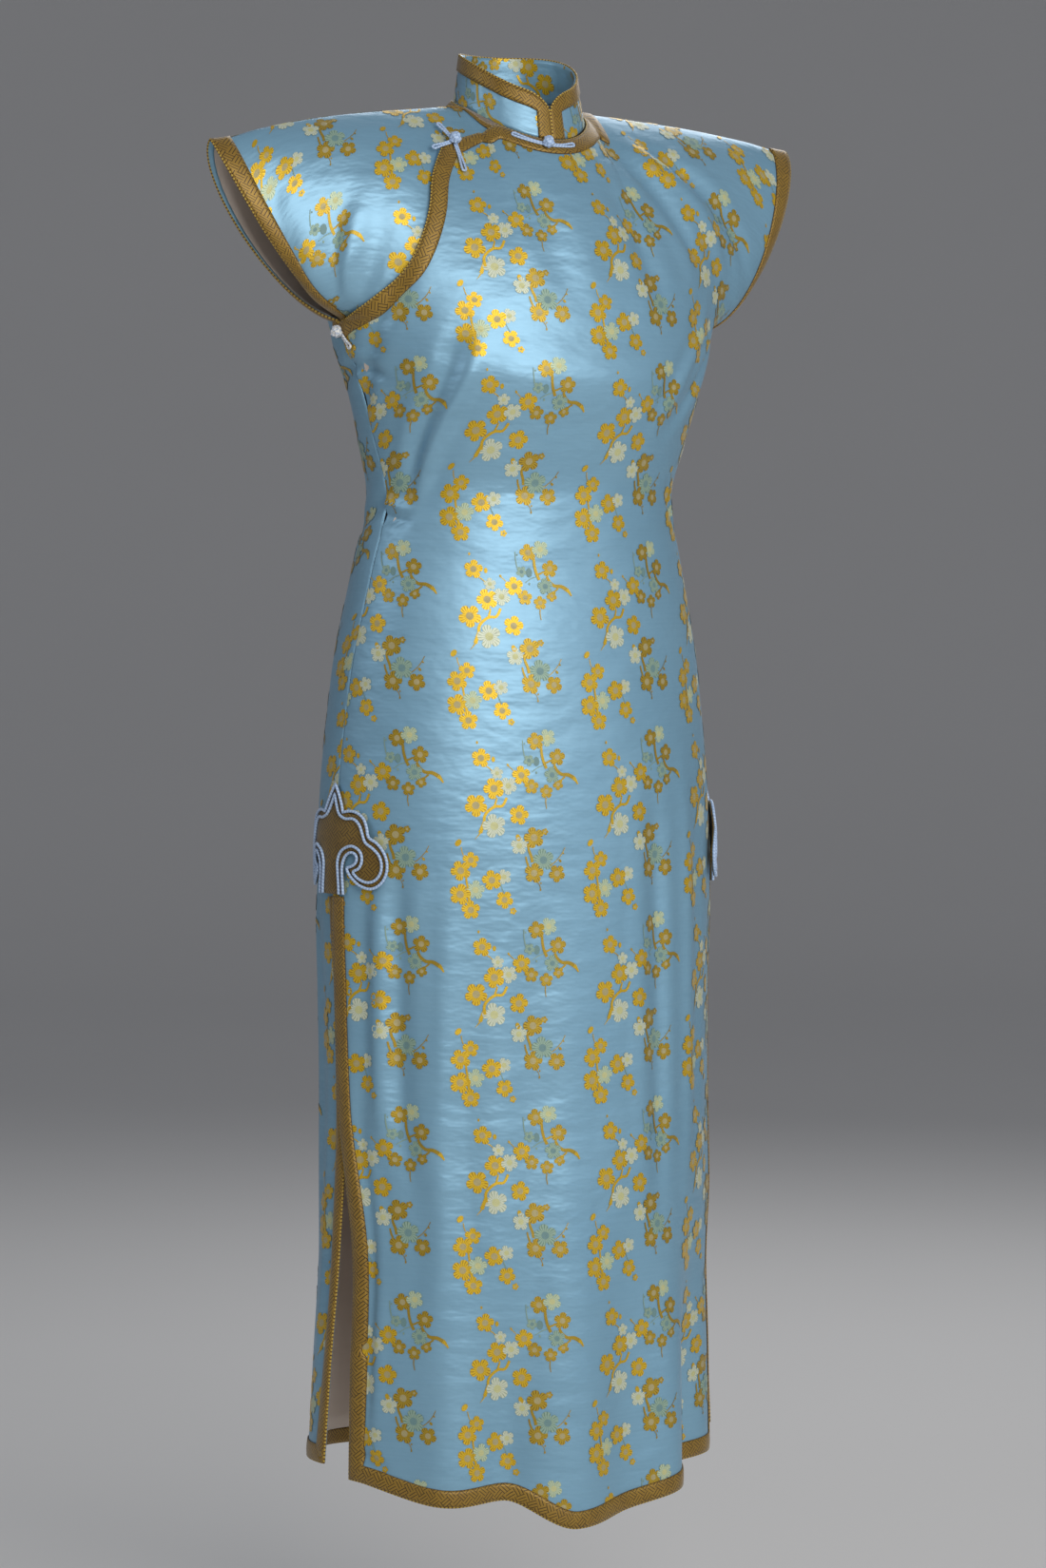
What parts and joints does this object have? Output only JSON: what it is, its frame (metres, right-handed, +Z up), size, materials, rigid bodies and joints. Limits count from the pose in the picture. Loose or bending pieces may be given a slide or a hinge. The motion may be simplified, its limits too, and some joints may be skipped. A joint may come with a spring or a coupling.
{
  "type": "cheongsam dress",
  "caption": "Long fitted cheongsam with a stand collar, curved side-closing front, cap sleeves and slit skirt with gold bindings.",
  "frame": {"origin": "middle of the neck, level with the two side neck points, where the dress is held", "axes": "the front faces -Y, the wearer's left is +X and +Z is up"},
  "size_m": [0.5943, 0.2768, 1.3114],
  "materials": {
    "satin": "blue silk satin with woven sprays of blossom",
    "gold_brocade": "gold brocade with a fine dark fret",
    "piping_cord": "pale blue satin cord",
    "lining_silk": "plain cream lining silk"
  },
  "bodies": {
    "root": {"front_panel": "satin", "right_front": "satin", "back_panel": "satin", "collar": "satin", "front_hem_binding": "gold_brocade", "back_hem_binding": "gold_brocade", "flap_binding": "gold_brocade", "neck_band_front": "gold_brocade", "neck_band_back": "gold_brocade", "neck_band_right": "gold_brocade", "sleeve_binding_left": "gold_brocade", "sleeve_binding_right": "gold_brocade", "collar_binding": "gold_brocade", "cloud_left": "gold_brocade", "cloud_right": "gold_brocade", "cloud_left_outer_cord": "piping_cord", "cloud_left_inner_cord": "piping_cord", "cloud_right_outer_cord": "piping_cord", "cloud_right_inner_cord": "piping_cord", "neck_frog_knot": "piping_cord", "neck_frog_left_arm": "piping_cord", "neck_frog_right_arm": "piping_cord", "flap_frog_knot": "piping_cord", "flap_frog_upper_arm": "piping_cord", "flap_frog_lower_arm": "piping_cord", "flap_frog_side_arm": "piping_cord", "underarm_frog_knot": "piping_cord", "underarm_frog_arm": "piping_cord", "lining_front": "lining_silk", "lining_back": "lining_silk", "lining_right": "lining_silk"}
  },
  "joints": []
}
